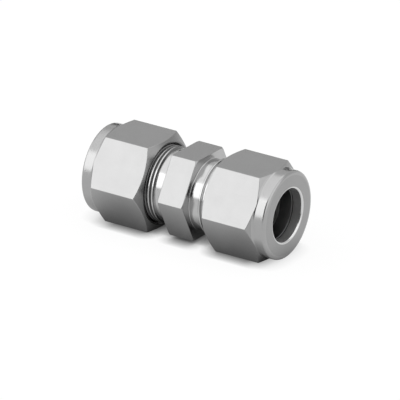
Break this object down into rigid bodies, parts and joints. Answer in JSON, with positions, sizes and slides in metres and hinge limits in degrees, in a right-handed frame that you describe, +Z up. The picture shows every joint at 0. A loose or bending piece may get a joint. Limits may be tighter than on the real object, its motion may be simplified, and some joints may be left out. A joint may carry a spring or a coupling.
{
  "type": "compression union",
  "caption": "Straight compression union: a hexagonal body with a nut and ferrules at each end, which joins and seals hard tubes of one size in line.",
  "frame": {"origin": "the middle of the body's hexagon, on the flow axis", "axes": "+X along the flow axis towards the right-hand nut, +Z up with the union lying on the nuts' lower flats, -Y towards the viewer"},
  "size_m": [0.0522, 0.0256, 0.0222],
  "materials": {
    "body": "bright machined stainless steel",
    "nuts": "fine satin machined stainless steel",
    "ferrules": "turned stainless steel"
  },
  "bodies": {
    "fitting_body": {"union_body": "body"},
    "ferrules_right": {"front_ferrule_right": "ferrules", "back_ferrule_right": "ferrules"},
    "nut_right": {"nut_right": "nuts"},
    "ferrules_left": {"front_ferrule_left": "ferrules", "back_ferrule_left": "ferrules"},
    "nut_left": {"nut_left": "nuts"}
  },
  "joints": [
    {"name": "nut_right_travel", "type": "slide", "parent": "fitting_body", "child": "ferrules_right", "axis": [1, 0, 0], "range_m": [0, 0.0085]},
    {"name": "nut_right_turn", "type": "hinge", "parent": "ferrules_right", "child": "nut_right", "pos_m": [0, 0, 0], "axis": [1, 0, 0], "range_deg": [0, 2880]},
    {"name": "nut_left_travel", "type": "slide", "parent": "fitting_body", "child": "ferrules_left", "axis": [-1, 0, 0], "range_m": [0, 0.0085]},
    {"name": "nut_left_turn", "type": "hinge", "parent": "ferrules_left", "child": "nut_left", "pos_m": [0, 0, 0], "axis": [-1, 0, 0], "range_deg": [0, 2880]}
  ],
  "couplings": [
    {"joint": "nut_right_travel", "follows": "nut_right_turn", "m_per_rad": 0.00016844},
    {"joint": "nut_left_travel", "follows": "nut_left_turn", "m_per_rad": 0.00016844}
  ]
}
